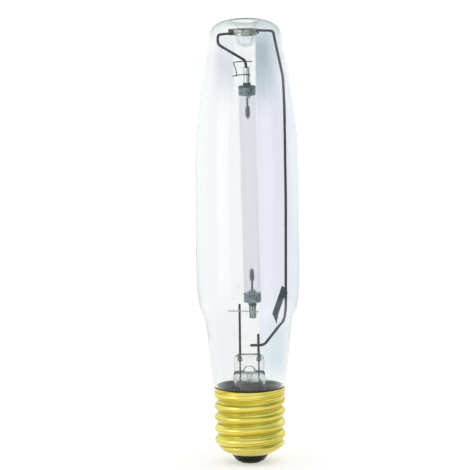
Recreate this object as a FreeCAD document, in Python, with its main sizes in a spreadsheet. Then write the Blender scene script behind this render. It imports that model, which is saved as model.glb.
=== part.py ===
import FreeCAD, Part
import math
import os
import Sketcher

# High-pressure sodium grow lamp with a large Edison screw base.  Millimetres.
# +Z runs up the lamp from the centre contact (z = 0) to the dome, +X points to the frame wire's long side.

V = FreeCAD.Vector
doc = FreeCAD.newDocument("grow_lamp")
sheet = doc.addObject("Spreadsheet::Sheet", "dims")


class Size:
    """A number that carries the spreadsheet expression it comes from."""

    def __init__(self, value, text=None):
        self.value = float(value)
        self.text = text or "(%.6g)" % value

    def _join(self, other, sign, swap=False):
        other = other if isinstance(other, Size) else Size(other)
        a, b = (other, self) if swap else (self, other)
        value = {
            "+": lambda: a.value + b.value,
            "-": lambda: a.value - b.value,
            "*": lambda: a.value * b.value,
            "/": lambda: a.value / b.value,
        }[sign]()
        return Size(value, "(%s %s %s)" % (a.text, sign, b.text))

    def __add__(self, other):
        return self._join(other, "+")

    def __radd__(self, other):
        return self._join(other, "+", True)

    def __sub__(self, other):
        return self._join(other, "-")

    def __rsub__(self, other):
        return self._join(other, "-", True)

    def __mul__(self, other):
        return self._join(other, "*")

    def __rmul__(self, other):
        return self._join(other, "*", True)

    def __truediv__(self, other):
        return self._join(other, "/")

    def __neg__(self):
        return 0 - self

    def __float__(self):
        return self.value


SIZES = [
    # outer bulb
    ("overall_length", 247.65, "contact face to crown, 9.75 in"),
    ("bulb_radius", 28.575, "2.25 in tubular bulb"),
    ("glass_wall", 1.0, "outer bulb wall"),
    ("bulb_bottom", 94.0, "lower end of the straight tube"),
    ("bulb_top", 170.0, "upper end of the straight tube"),
    ("taper_radius", 20.6, "where the long taper meets the dome"),
    ("taper_top", "overall_length - 11.65", ""),
    ("neck_top_radius", 23.8, "neck just under the shoulder"),
    ("neck_top", 79.5, ""),
    ("neck_radius", 20.2, "neck just above the base"),
    ("neck_foot", "base_height + 2.2", ""),
    ("skirt_radius", 16.4, "neck end inside the base"),
    ("skirt_bottom", "base_height - 10.9", ""),
    ("dimple_radius", 6.1, "pressed dimple, seen from inside the bulb"),
    ("dimple_depth", 15.05, "crown to the dimple's lowest point"),
    # screw base
    ("base_height", 42.4, "contact face to rim"),
    ("thread_major_radius", 19.6, ""),
    ("thread_minor_radius", 17.84, ""),
    ("thread_pitch", 6.35, "4 threads to the inch, right hand"),
    ("thread_phase", 9.65, "height of a crest at +X"),
    ("sheet_wall", 0.4, "brass sheet"),
    ("lip_radius", 10.4, "shell lip round the insulator"),
    ("lip_height", 4.8, ""),
    ("shoulder_height", 11.5, "where the shell turns straight"),
    ("contact_radius", 5.9, ""),
    ("contact_thick", 0.95, ""),
    # stem
    ("stem_radius", 9.0, ""),
    ("press_half_width", 8.3, ""),
    ("press_thick", 4.8, ""),
    ("press_bottom", "skirt_bottom + 19", ""),
    ("press_top", "press_bottom + 10.5", ""),
    ("exhaust_radius", 1.75, ""),
    ("lead_left_x", -5.0, ""),
    ("lead_right_x", 5.2, ""),
    ("lead_left_radius", 0.65, ""),
    ("lead_right_radius", 0.7, ""),
    ("lead_left_top", "crossbar_height + 4", ""),
    ("lead_right_top", "press_top + 11.1", ""),
    ("seal_wire_radius", 0.4, ""),
    ("bead_radius", 1.3, ""),
    ("bead_bottom", "press_top - 4.4", ""),
    ("bead_top", "press_top - 1.6", ""),
    # frame
    ("frame_radius", 0.75, "frame wire"),
    ("crossbar_radius", 0.35, ""),
    ("crossbar_height", "arc_bottom - 5.2", ""),
    ("clip_gap", 0.25, "spring clip to dimple, at the widest"),
    ("clip_thick", 0.4, ""),
    ("clip_height", 3.6, ""),
    ("clip_bottom", "overall_length - 7.75", ""),
    ("strip_radius", 0.28, "flexible connector"),
    ("getter_thick", 0.3, ""),
    # arc tube, heights along its own axis
    ("arc_radius", 4.6, "ceramic tube"),
    ("arc_wall", 0.7, ""),
    ("arc_bottom", 90.2, ""),
    ("arc_top", 210.9, ""),
    ("arc_foot_x", 2.3, "axis at the crossbar"),
    ("arc_lean", 0.76, "degrees, top leans to -X"),
    ("plug_length", 4.2, ""),
    ("plug_gap", 0.03, "upper plug and band to ceramic tube"),
    ("shield_height", 4.7, ""),
    ("shield_thick", 0.13, ""),
    ("feed_lower_radius", 1.95, "niobium tube"),
    ("feed_upper_radius", 1.85, ""),
    ("feed_wall", 0.4, ""),
    ("feed_bottom", "arc_bottom - 9.2", ""),
    ("feed_top", "arc_top + 10.6", ""),
    ("rod_radius", 0.6, "electrode"),
    ("coil_wire_radius", 0.35, ""),
    ("coil_length", 5.4, ""),
]


class Dims:
    pass


D = Dims()
for row, (alias, value, note) in enumerate(SIZES, start=1):
    sheet.set("A%d" % row, alias)
    sheet.set("C%d" % row, note)
    sheet.setAlias("B%d" % row, alias)
for row, (alias, value, note) in enumerate(SIZES, start=1):
    sheet.set("B%d" % row, "=" + value if isinstance(value, str) else "%.6g" % value)
doc.recompute()
for alias, value, note in SIZES:
    setattr(D, alias, Size(sheet.get(alias), "dims." + alias))

NODES = []


def keep(obj, node):
    """Mark a document object as one finished sub-part."""
    obj.Label = node
    NODES.append(obj)
    return obj


def new_body(node):
    return keep(doc.addObject("PartDesign::Body", node), node)


def origin_plane(body, role):
    return [f for f in body.Origin.OriginFeatures if f.Role == role][0]


def new_sketch(body, name, role="XZ_Plane"):
    sketch = body.newObject("Sketcher::SketchObject", name)
    sketch.AttachmentSupport = [(origin_plane(body, role), "")]
    sketch.MapMode = "FlatFace"
    return sketch


def arc_between(p, q, radius):
    """Arc from p to q.  A positive radius puts the centre on the left of the way from p to q."""
    chord = q - p
    side = V(-chord.y, chord.x, 0).normalize() * math.copysign(1, radius)
    rise = math.sqrt(max(radius * radius - chord.Length**2 / 4, 0))
    centre = (p + q) * 0.5 + side * rise
    start, end = (p, q) if radius > 0 else (q, p)
    a0 = math.atan2(start.y - centre.y, start.x - centre.x)
    a1 = math.atan2(end.y - centre.y, end.x - centre.x)
    if a1 <= a0:
        a1 += 2 * math.pi
    return Part.ArcOfCircle(Part.Circle(centre, V(0, 0, 1), abs(radius)), a0, a1)


def pin_down(sketch, geo, pos, place):
    """Hold a sketch point at (x, y), each bound to its expression."""
    for kind, axis, size in (("DistanceX", -2, place[0]), ("DistanceY", -1, place[1])):
        size = size if isinstance(size, Size) else Size(size)
        if abs(size.value) < 1e-9:
            sketch.addConstraint(Sketcher.Constraint("PointOnObject", geo, pos, axis))
        else:
            index = sketch.addConstraint(Sketcher.Constraint(kind, -1, 1, geo, pos, size.value))
            sketch.setExpression("Constraints[%d]" % index, size.text)


def closed_outline(sketch, path):
    """Closed outline through (x, y) or (x, y, radius) points; a radius makes the next edge an arc."""
    count = len(path)
    points = [V(float(p[0]), float(p[1]), 0) for p in path]
    ends = []
    for i, entry in enumerate(path):
        p, q = points[i], points[(i + 1) % count]
        if len(entry) == 3:
            radius = entry[2]
            geo = sketch.addGeometry(arc_between(p, q, float(radius)))
            ends.append((geo, 1, 2) if float(radius) > 0 else (geo, 2, 1))
        else:
            geo = sketch.addGeometry(Part.LineSegment(p, q))
            ends.append((geo, 1, 2))
    for i, (geo, first, last) in enumerate(ends):
        after = ends[(i + 1) % count]
        sketch.addConstraint(Sketcher.Constraint("Coincident", geo, last, after[0], after[1]))
        pin_down(sketch, geo, first, path[i])
        if len(path[i]) == 3:
            radius = path[i][2] if isinstance(path[i][2], Size) else Size(path[i][2])
            if radius.value < 0:
                radius = 0 - radius
            index = sketch.addConstraint(Sketcher.Constraint("Radius", geo, radius.value))
            sketch.setExpression("Constraints[%d]" % index, radius.text)


def turn(body, name, path):
    """Turn a closed (radius, height) outline about the body's own Z axis."""
    sketch = new_sketch(body, name + "_outline")
    closed_outline(sketch, path)
    feature = body.newObject("PartDesign::Revolution", name + "_turn")
    feature.Profile = sketch
    feature.ReferenceAxis = (sketch, ["V_Axis"])
    feature.Angle = 360
    doc.recompute()
    return feature


def turned(node, path, placement=None):
    body = new_body(node)
    turn(body, node, path)
    if placement:
        body.Placement = placement
    return body


def pad(body, name, path, thick, role="XZ_Plane"):
    sketch = new_sketch(body, name + "_outline", role)
    closed_outline(sketch, path)
    feature = body.newObject("PartDesign::Pad", name + "_pad")
    feature.Profile = sketch
    feature.Midplane = True
    thick = thick if isinstance(thick, Size) else Size(thick)
    feature.Length = thick.value
    feature.setExpression("Length", thick.text)
    doc.recompute()
    return feature


def round_hole(body, name, x, radius, low, high):
    """Round cut with its axis along Z."""
    cut = body.newObject("PartDesign::SubtractiveCylinder", name)
    cut.setExpression("Radius", radius.text)
    cut.setExpression("Height", (high - low).text)
    cut.Placement = FreeCAD.Placement(V(float(x), 0, float(low)), FreeCAD.Rotation())
    cut.setExpression(".Placement.Base.x", x.text if isinstance(x, Size) else "%.6g" % x)
    cut.setExpression(".Placement.Base.z", low.text)
    doc.recompute()


def rod(node, radius, start, direction, length):
    """Straight round rod: a cylinder whose radius and length are bound to the sheet."""
    piece = keep(doc.addObject("Part::Cylinder", node), node)
    length = length if isinstance(length, Size) else Size(length)
    piece.setExpression("Radius", radius.text)
    piece.setExpression("Height", length.text)
    piece.Placement = FreeCAD.Placement(start, FreeCAD.Rotation(V(0, 0, 1), direction))
    return piece


def bent_path(name, points, bend):
    """Polyline with each corner rounded to the bend radius, or less where a leg is short."""
    pts = [V(*[float(c) for c in p]) for p in points]
    edges, here = [], pts[0]
    for before, corner, after in zip(pts, pts[1:], pts[2:]):
        u, w = (corner - before).normalize(), (after - corner).normalize()
        half = u.getAngle(w) / 2
        reach = min(bend * math.tan(half), 0.45 * (corner - before).Length, 0.45 * (after - corner).Length)
        start, end = corner - u * reach, corner + w * reach
        inward = (w - u).normalize()
        middle = corner + inward * (reach / math.tan(half)) * (1 / math.cos(half) - 1)
        edges += [Part.makeLine(here, start), Part.Arc(start, middle, end).toShape()]
        here = end
    edges.append(Part.makeLine(here, pts[-1]))
    path = doc.addObject("Part::Feature", name)
    path.Shape = Part.Wire(edges)
    return path, (pts[1] - pts[0]).normalize()


def wire(node, radius, points, bend):
    """Round wire swept along a bent path."""
    path, direction = bent_path(node + "_path", points, bend)
    section = doc.addObject("Part::Circle", node + "_section")
    section.setExpression("Radius", radius.text)
    start = V(*[float(c) for c in points[0]])
    section.Placement = FreeCAD.Placement(start, FreeCAD.Rotation(V(0, 0, 1), direction))
    doc.recompute()
    sweep = keep(doc.addObject("Part::Sweep", node), node)
    sweep.Sections = [section]
    sweep.Spine = (path, ["Edge%d" % (i + 1) for i in range(len(path.Shape.Edges))])
    sweep.Solid = True
    sweep.Frenet = False
    doc.recompute()
    return sweep


def coil(node, mean_radius, wire_radius, length, pitch, placement):
    """Close-wound wire coil: a circle swept along a helix."""
    helix = doc.addObject("Part::Helix", node + "_path")
    helix.setExpression("Radius", mean_radius.text)
    helix.setExpression("Pitch", pitch.text)
    helix.setExpression("Height", length.text)
    helix.Placement = placement
    section = doc.addObject("Part::Circle", node + "_section")
    section.setExpression("Radius", wire_radius.text)
    local = FreeCAD.Placement(V(float(mean_radius), 0, 0), FreeCAD.Rotation(V(1, 0, 0), 90))
    section.Placement = placement.multiply(local)
    doc.recompute()
    sweep = keep(doc.addObject("Part::Sweep", node), node)
    sweep.Sections = [section]
    sweep.Spine = (helix, ["Edge%d" % (i + 1) for i in range(len(helix.Shape.Edges))])
    sweep.Solid = True
    sweep.Frenet = True
    doc.recompute()
    return sweep


# ---------------------------------------------------------------- outer bulb
t = D.glass_wall
crown = D.overall_length
lip_r = D.dimple_radius - t - 0.3
mouth_z = crown - 3.4
floor_z = crown - D.dimple_depth
waist_r = (D.neck_top_radius + D.bulb_radius) / 2
waist_z = D.neck_top * 0.7 + D.bulb_bottom * 0.3
waist_in, waist_up = D.bulb_radius - waist_r, D.bulb_bottom - waist_z
shoulder_r = (waist_in * waist_in + waist_up * waist_up) / (waist_in * 2)
taper_in, taper_up = D.bulb_radius - D.taper_radius, D.taper_top - D.bulb_top
taper_r = (taper_in * taper_in + taper_up * taper_up) / (taper_in * 2) * 1.2632
outer = [
    (D.skirt_radius, D.skirt_bottom),
    (D.skirt_radius, D.neck_foot - 6.0),
    (D.neck_radius - 1.7, D.neck_foot - 2.4, 3.5),
    (D.neck_radius, D.neck_foot),
    (D.neck_top_radius, D.neck_top, -7.0),
    (waist_r, waist_z, shoulder_r),
    (D.bulb_radius, D.bulb_bottom),
    (D.bulb_radius, D.bulb_top, taper_r),
    (D.taper_radius, D.taper_top, 11.0),
    (D.taper_radius - 5.1, crown - 1.45, 30.0),
    (lip_r + 3.4, crown, 3.4),
    (lip_r, mouth_z),
    (D.dimple_radius - t, floor_z + D.dimple_radius, -(D.dimple_radius - t)),
    (0, floor_z + t),
]
inner = [
    (0, floor_z, D.dimple_radius),
    (D.dimple_radius, floor_z + D.dimple_radius),
    (lip_r + t, mouth_z, 0 - (3.4 - t)),
    (lip_r + 3.4, crown - t, -(30.0 - 1.0)),
    (D.taper_radius - 5.1 - t * 0.33, crown - 1.45 - t * 0.95, -(11.0 - 1.0)),
    (D.taper_radius - t, D.taper_top - t * 0.15, t - taper_r),
    (D.bulb_radius - t, D.bulb_top),
    (D.bulb_radius - t, D.bulb_bottom, t - shoulder_r),
    (waist_r - t * 0.9, waist_z + t * 0.45, 8.0),
    (D.neck_top_radius - t, D.neck_top + t * 0.1),
    (D.neck_radius - t, D.neck_foot + t * 0.2, -2.5),
    (D.neck_radius - 1.7 - t * 0.8, D.neck_foot - 2.4 + t * 0.6),
    (D.skirt_radius - t, D.neck_foot - 6.0 + t * 0.35),
    (D.skirt_radius - t, D.skirt_bottom),
]
turned("glass_envelope", outer + inner)

# ---------------------------------------------------------------- stem: flare, tube and press in one piece of glass
rim_z = D.skirt_bottom - 1.0
stem = new_body("stem")
tube_top = D.press_bottom - 6.5
turn(
    stem,
    "flare",
    [
        (D.skirt_radius, rim_z),
        (D.skirt_radius, D.skirt_bottom),
        (D.skirt_radius - t - 0.1, D.skirt_bottom, -8.0),
        (D.stem_radius, D.skirt_bottom + 7.5),
        (D.stem_radius, tube_top),
        (D.stem_radius - t, tube_top),
        (D.stem_radius - t, D.skirt_bottom + 7.5, 9.0),
        (D.skirt_radius - t - 0.6, rim_z),
    ],
)


def oval_sketch(body, name, height, half_x, half_y):
    """Ellipse (a circle where both halves are equal) parallel to the XY plane."""
    sketch = new_sketch(body, name, "XY_Plane")
    sketch.AttachmentOffset = FreeCAD.Placement(V(0, 0, float(height)), FreeCAD.Rotation())
    sketch.setExpression(".AttachmentOffset.Base.z", height.text)
    a, b = float(half_x), float(half_y)
    round_one = Part.Circle(V(0, 0, 0), V(0, 0, 1), a)
    sketch.addGeometry(round_one if abs(a - b) < 0.01 else Part.Ellipse(V(a, 0, 0), V(0, b, 0), V(0, 0, 0)))
    return sketch


def loft(body, name, kind, low, high):
    first = oval_sketch(body, name + "_low", *low)
    second = oval_sketch(body, name + "_high", *high)
    feature = body.newObject("PartDesign::" + kind, name)
    feature.Profile = first
    feature.Sections = [second]
    feature.Ruled = False
    doc.recompute()
    return feature


wall_over_bore = D.press_bottom - 1.2
loft(
    stem,
    "taper",
    "AdditiveLoft",
    (tube_top, D.stem_radius, D.stem_radius),
    (D.press_bottom + 0.3, D.press_half_width, D.press_thick / 2),
)
pad(
    stem,
    "press",
    [
        (0 - D.press_half_width, D.press_bottom),
        (D.press_half_width, D.press_bottom),
        (D.press_half_width, D.press_top - 3.0, 3.0),
        (D.press_half_width - 3.0, D.press_top),
        (3.0 - D.press_half_width, D.press_top, 3.0),
        (0 - D.press_half_width, D.press_top - 3.0),
    ],
    D.press_thick,
)
loft(
    stem,
    "bore",
    "SubtractiveLoft",
    (tube_top, D.stem_radius - t, D.stem_radius - t),
    (wall_over_bore, D.press_half_width - 1.3, D.press_thick / 2 - 0.9),
)
hole_half = D.exhaust_radius + 1.1
vent = new_sketch(stem, "vent_outline")
closed_outline(
    vent,
    [
        (hole_half * -0.6, D.press_bottom + 0.1),
        (hole_half * 0.6, D.press_bottom + 0.1),
        (hole_half, D.press_bottom + 1.2),
        (hole_half * 0.5, D.press_bottom + 3.1),
        (hole_half * -0.5, D.press_bottom + 3.1),
        (hole_half * -1.0, D.press_bottom + 1.2),
    ],
)
vent_cut = stem.newObject("PartDesign::Pocket", "vent")
vent_cut.Profile = vent
vent_cut.Type = 1
vent_cut.Midplane = True
doc.recompute()
round_hole(stem, "exhaust_seat", 0.0, D.exhaust_radius, wall_over_bore - 0.6, D.press_bottom + 0.2)
for side, x, radius in (
    ("left", D.lead_left_x, D.lead_left_radius),
    ("right", D.lead_right_x, D.lead_right_radius),
):
    round_hole(stem, side + "_seal_hole", x, D.seal_wire_radius, wall_over_bore - 2.0, D.press_top + 0.5)
    round_hole(stem, side + "_bead_seat", x, D.bead_radius, D.bead_bottom, D.bead_top)
    round_hole(stem, side + "_rod_seat", x, radius, D.bead_top - 0.01, D.press_top + 0.5)

tip_z = D.skirt_bottom - 9.5
turned(
    "exhaust_tube",
    [
        (0, tip_z, D.exhaust_radius),
        (D.exhaust_radius, tip_z + D.exhaust_radius),
        (D.exhaust_radius, D.press_bottom + 0.1),
        (D.exhaust_radius - 0.75, D.press_bottom + 0.1),
        (D.exhaust_radius - 0.75, tip_z + 3.0),
        (0, tip_z + 2.4),
    ],
)

# ---------------------------------------------------------------- leads
up = V(0, 0, 1)
seal_foot = D.press_bottom - 4.0
for side, x, radius, top in (
    ("left", D.lead_left_x, D.lead_left_radius, D.lead_left_top),
    ("right", D.lead_right_x, D.lead_right_radius, D.lead_right_top),
):
    at_x = float(x)
    rod("lead_" + side, radius, V(at_x, 0, float(D.bead_top)), up, top - D.bead_top)
    rod("seal_wire_" + side, D.seal_wire_radius, V(at_x, 0, float(seal_foot)), up, D.bead_top - seal_foot)
    turned(
        "seal_bead_" + side,
        [
            (D.seal_wire_radius, D.bead_bottom),
            (D.bead_radius, D.bead_bottom),
            (D.bead_radius, D.bead_top),
            (D.seal_wire_radius, D.bead_top),
        ],
        FreeCAD.Placement(V(at_x, 0, 0), FreeCAD.Rotation()),
    )

solder_top = D.contact_thick + 0.45
wire(
    "outer_lead_contact",
    D.seal_wire_radius,
    [(D.lead_left_x, 0, seal_foot), (D.lead_left_x, 0, 19.5), (0, 0, 13.5), (0, 0, solder_top)],
    2.0,
)
weld_z = D.thread_phase + D.thread_pitch * 2
weld_r = 0.85
weld_x = D.thread_major_radius - D.sheet_wall - weld_r
wire(
    "outer_lead_shell",
    D.seal_wire_radius,
    [(D.lead_right_x, 0, seal_foot), (D.lead_right_x, 0, weld_z + 4.65), (11.5, 0, weld_z), (weld_x - weld_r, 0, weld_z)],
    2.0,
)
weld = keep(doc.addObject("Part::Sphere", "side_solder"), "side_solder")
weld.Radius = weld_r
weld.Placement = FreeCAD.Placement(V(float(weld_x), 0, float(weld_z)), FreeCAD.Rotation())
weld.setExpression(".Placement.Base.x", weld_x.text)
weld.setExpression(".Placement.Base.z", weld_z.text)


# ---------------------------------------------------------------- screw base
def ease(a, b, x):
    u = min(1.0, max(0.0, (x - a) / (b - a)))
    return u * u * (3 - 2 * u)


MEAN = (D.thread_major_radius.value + D.thread_minor_radius.value) / 2
DEPTH = (D.thread_major_radius.value - D.thread_minor_radius.value) / 2
RIM = D.base_height.value
SHOULDER = D.shoulder_height.value


def shell_line(v):
    """Thread-free outer line of the shell: v 0..1 is the shoulder curve, 1..2 the straight part."""
    if v < 1:
        a, b = D.lip_radius.value, D.lip_height.value
        rise = SHOULDER - b
        xs = (a, a + 0.385 * (MEAN - a), MEAN, MEAN)
        zs = (b, b + 0.12 * rise, b + 0.63 * rise, SHOULDER)
        weights = ((1 - v) ** 3, 3 * v * (1 - v) ** 2, 3 * v * v * (1 - v), v**3)
        return sum(x * k for x, k in zip(xs, weights)), sum(z * k for z, k in zip(zs, weights))
    z = SHOULDER + (RIM - SHOULDER) * (v - 1)
    return MEAN + (DEPTH - 0.08) * ease(RIM - 6.9, RIM - 3.7, z), z


def shell_point(angle, v, inset):
    """Rolled thread on that line, moved inwards by inset along the surface's own normal."""

    def at(v):
        r, z = shell_line(v)
        fade = ease(SHOULDER - 3.9, SHOULDER - 0.3, z) * (1 - ease(RIM - 6.9, RIM - 4.1, z))
        turns = (z - D.thread_phase.value) / D.thread_pitch.value
        return r + DEPTH * fade * math.cos(2 * math.pi * turns - angle), z

    r, z = at(v)
    if inset:
        (r0, z0), (r1, z1) = at(max(0.0, v - 1e-4)), at(min(2.0, v + 1e-4))
        slope = math.hypot(r1 - r0, z1 - z0)
        nr, nz = (z0 - z1) / slope, (r1 - r0) / slope
        if v <= 0:
            nr, nz = 0.0, 1.0
        if v >= 2:
            nr, nz = -1.0, 0.0
        r, z = r + inset * nr, z + inset * nz
    return V(r * math.cos(angle), r * math.sin(angle), z)


def shell_face(inset, around=20, shoulder_rows=10, straight_rows=30):
    """Smooth periodic surface through the shell's points."""
    rows = [i / shoulder_rows for i in range(shoulder_rows)]
    rows += [1 + j / straight_rows for j in range(straight_rows + 1)]
    columns = []
    for i in range(around):
        line = Part.BSplineCurve()
        points = [shell_point(2 * math.pi * i / around, v, inset) for v in rows]
        line.interpolate(Points=points, Parameters=[float(k) for k in range(len(rows))])
        columns.append(line.getPoles())
    net = []
    for ring in zip(*columns):
        loop = Part.BSplineCurve()
        stations = [float(k) for k in range(around + 1)]
        loop.interpolate(Points=list(ring), PeriodicFlag=True, Parameters=stations)
        net.append(loop.getPoles())
    surface = Part.BSplineSurface()
    surface.buildFromPolesMultsKnots(
        [list(column) for column in zip(*net)],
        loop.getMultiplicities(),
        line.getMultiplicities(),
        loop.getKnots(),
        line.getKnots(),
        True,
        False,
        3,
        3,
    )
    return surface.toShape()


def rolled_shell():
    outside, inside = shell_face(0.0), shell_face(D.sheet_wall.value)
    faces = [outside, inside]
    for end in (0, -1):
        pair = [
            sorted([e for e in f.Edges if e.isClosed()], key=lambda e: e.CenterOfMass.z)[end]
            for f in (outside, inside)
        ]
        faces.append(Part.makeRuledSurface(*pair))
    shell = Part.makeShell(faces)
    shell.sewShape(1e-4)
    solid = Part.makeSolid(shell)
    if solid.Volume < 0:
        solid.reverse()
    return solid


base_shell = keep(doc.addObject("Part::Feature", "base_shell"), "base_shell")
base_shell.Shape = rolled_shell()

c = D.contact_thick
turned(
    "base_insulator",
    [
        (1.2, c),
        (D.contact_radius + 1.5, c, -4.5),
        (D.lip_radius - 0.5, D.lip_height - 0.8),
        (D.lip_radius, D.lip_height - 0.5),
        (D.lip_radius, D.lip_height + D.sheet_wall),
        (D.lip_radius + 1.1, D.lip_height + 1.15),
        (D.lip_radius + 4.0, D.lip_height + 2.9),
        (D.lip_radius + 4.0, D.lip_height + 3.9),
        (6.0, D.lip_height + 3.9),
        (4.0, D.lip_height + 2.9),
        (1.2, D.lip_height + 2.9),
    ],
)
turned(
    "centre_contact",
    [
        (0.8, 0),
        (D.contact_radius - 0.6, 0),
        (D.contact_radius, c / 2),
        (D.contact_radius, c),
        (1.2, c),
        (1.2, c + 2.2),
        (0.8, c + 2.2),
    ],
)
turned("contact_solder", [(0, 0.03), (0.8, 0.03), (0.8, solder_top), (0, solder_top)])

skirt_line = D.neck_foot - 6.0
bed_top = D.base_height - 0.6
bed_inner = D.skirt_radius + (D.neck_radius - 1.7 - D.skirt_radius) * (bed_top - skirt_line) / 3.6
root_inner = D.thread_minor_radius - D.sheet_wall - 0.05
turned(
    "basing_cement",
    [
        (D.skirt_radius, D.skirt_bottom - 2.5),
        (root_inner, D.skirt_bottom - 2.5),
        (root_inner, D.base_height - 5.3),
        (D.thread_major_radius - D.sheet_wall - 0.2, D.base_height - 3.0),
        (D.thread_major_radius - D.sheet_wall - 0.2, bed_top),
        (bed_inner, bed_top),
        (D.skirt_radius, skirt_line),
    ],
)

# ---------------------------------------------------------------- frame and fittings
clip_r = D.dimple_radius + D.clip_gap
clip_out = clip_r + D.clip_thick
clip_top = D.clip_bottom + D.clip_height
clip = new_body("dimple_clip")
turn(clip, "band", [(clip_r, D.clip_bottom), (clip_out, D.clip_bottom), (clip_out, clip_top), (clip_r, clip_top)])
for name, x0, x1, low, high in (
    ("left_ear", 0 - clip_out - 2.45, 0.15 - clip_out, D.clip_bottom - 0.3, clip_top - 0.2),
    ("right_ear", clip_out - 0.15, clip_out + 0.8, D.clip_bottom + 0.4, clip_top - 0.6),
):
    pad(clip, name, [(x0, low), (x1, low), (x1, high), (x0, high)], 0.6)

cross_y = 0 - D.lead_right_radius - D.frame_radius
behind = clip_out + D.frame_radius
pass_z = D.clip_bottom + 2.0
side_x = D.bulb_radius - 7.3
feed_x = D.arc_foot_x - (D.feed_top - D.crossbar_height) * math.tan(math.radians(D.arc_lean.value))
tip_x = feed_x - 0.18931
wire(
    "frame_wire",
    D.frame_radius,
    [
        (0.9, cross_y, D.press_top + 4.9),
        (8.3, cross_y, D.press_top + 5.0),
        (D.neck_top_radius - 4.025, cross_y * 0.6, D.bulb_bottom - 13.5),
        (side_x - 0.7, 0, D.bulb_bottom - 8.5),
        (side_x, 0, 147.0),
        (side_x - 0.15, 0, crown - 49.65),
        (D.taper_radius - 0.025, 0, crown - 32.05),
        (15.3, 0.5, pass_z - 0.2),
        (4.2, behind, pass_z),
        (-4.2, behind, pass_z),
        (0 - clip_out - 2.85, 1.4, pass_z - 1.6),
        (0 - clip_out - 8.35, 0, pass_z - 2.0),
        (0 - clip_out - 8.35, 0, pass_z - 7.4),
        (tip_x - 0.6, 0, D.feed_top + 3.9),
        (tip_x, 0, D.feed_top + 0.9),
        (tip_x, 0, D.feed_top - 4.5),
    ],
    1.6,
)

getter = new_body("getter_strip")
gx, gz = side_x - 0.3, 95.7
pad(
    getter,
    "blade",
    [
        (gx - 2.4, gz + 3.2),
        (gx - 0.2, gz + 1.4),
        (gx + 0.95, gz - 1.2),
        (gx - 0.9, gz - 2.6),
        (gx - 4.4, gz - 12.7),
        (gx - 5.7, gz - 18.2),
        (gx - 8.0, gz - 12.7),
    ],
    D.getter_thick,
)
getter.Placement = FreeCAD.Placement(V(0, float(D.frame_radius + D.getter_thick / 2), 0), FreeCAD.Rotation())

# The crossbar lies against the left lead and the lower niobium tube, so it runs a little askew in plan.
reach = (D.feed_lower_radius + D.crossbar_radius).value
near = (D.lead_left_radius + D.crossbar_radius).value
foot_x, lead_x = D.arc_foot_x.value, D.lead_left_x.value
askew = math.asin((reach - near) / (foot_x - lead_x))
along = V(math.cos(askew), -math.sin(askew), 0)
across = V(-math.sin(askew), -math.cos(askew), 0)
touch = V(lead_x, 0, D.crossbar_height.value) + across * near
rod("crossbar_wire", D.crossbar_radius, touch - along * 6.4, along, Size(17.4))

# ---------------------------------------------------------------- arc tube, built upright and then leaned
lean = FreeCAD.Placement(
    V(foot_x, 0, 0),
    FreeCAD.Rotation(V(0, 1, 0), -D.arc_lean.value),
    V(0, 0, D.crossbar_height.value),
)
bore = D.arc_radius - D.arc_wall
turned(
    "arc_tube",
    [(bore, D.arc_bottom), (D.arc_radius, D.arc_bottom), (D.arc_radius, D.arc_top), (bore, D.arc_top)],
    lean,
)


def arc_end(side, end, inward, feed_radius, feed_outer, gap, rod_end):
    """Plug, seal, band, niobium tube and electrode of one end; inward is +1 going up, -1 going down."""

    def ring(node, low, high, inner_r, outer_r):
        low, high = (low, high) if float(low) < float(high) else (high, low)
        turned(node, [(inner_r, low), (outer_r, low), (outer_r, high), (inner_r, high)], lean)

    face = end + inward * 0.5
    feed_inner = face + inward * (D.plug_length + 1.8)
    ring("end_plug_" + side, face, face + inward * D.plug_length, feed_radius, bore - gap)
    ring("shield_band_" + side, end, end + inward * D.shield_height, D.arc_radius + gap, D.arc_radius + gap + D.shield_thick)
    seal = [
        (feed_radius, face),
        (bore - 0.25, face),
        (bore - 0.45, face - inward * 0.55),
        (feed_radius + 0.35, face - inward * 1.0),
        (feed_radius + 0.3, face - inward * 2.6),
        (feed_radius, face - inward * 2.8),
    ]
    turned("frit_seal_" + side, seal if inward < 0 else seal[::-1], lean)
    feed = [
        (0, feed_inner),
        (feed_radius, feed_inner),
        (feed_radius, feed_outer),
        (feed_radius - D.feed_wall, feed_outer),
        (feed_radius - D.feed_wall, face),
        (0, face),
    ]
    turned("niobium_tube_" + side, feed, lean)
    shaft = keep(doc.addObject("Part::Cylinder", "electrode_rod_" + side), "electrode_rod_" + side)
    shaft.setExpression("Radius", D.rod_radius.text)
    low, high = (feed_inner, rod_end) if inward > 0 else (rod_end, feed_inner)
    shaft.setExpression("Height", (high - low).text)
    shaft.Placement = lean.multiply(FreeCAD.Placement(V(0, 0, float(low)), FreeCAD.Rotation()))
    start = rod_end - inward * 1.2
    start = start - D.coil_length if inward > 0 else start
    coil(
        "electrode_coil_" + side,
        D.rod_radius + D.coil_wire_radius + 0.02,
        D.coil_wire_radius,
        D.coil_length,
        D.coil_wire_radius * 2 + 0.04,
        lean.multiply(FreeCAD.Placement(V(0, 0, float(start)), FreeCAD.Rotation())),
    )


arc_end("lower", D.arc_bottom, 1, D.feed_lower_radius, D.feed_bottom, Size(0), D.arc_bottom + 18.7)
arc_end("upper", D.arc_top, -1, D.feed_upper_radius, D.feed_top, D.plug_gap, D.arc_top - 18.1)

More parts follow.
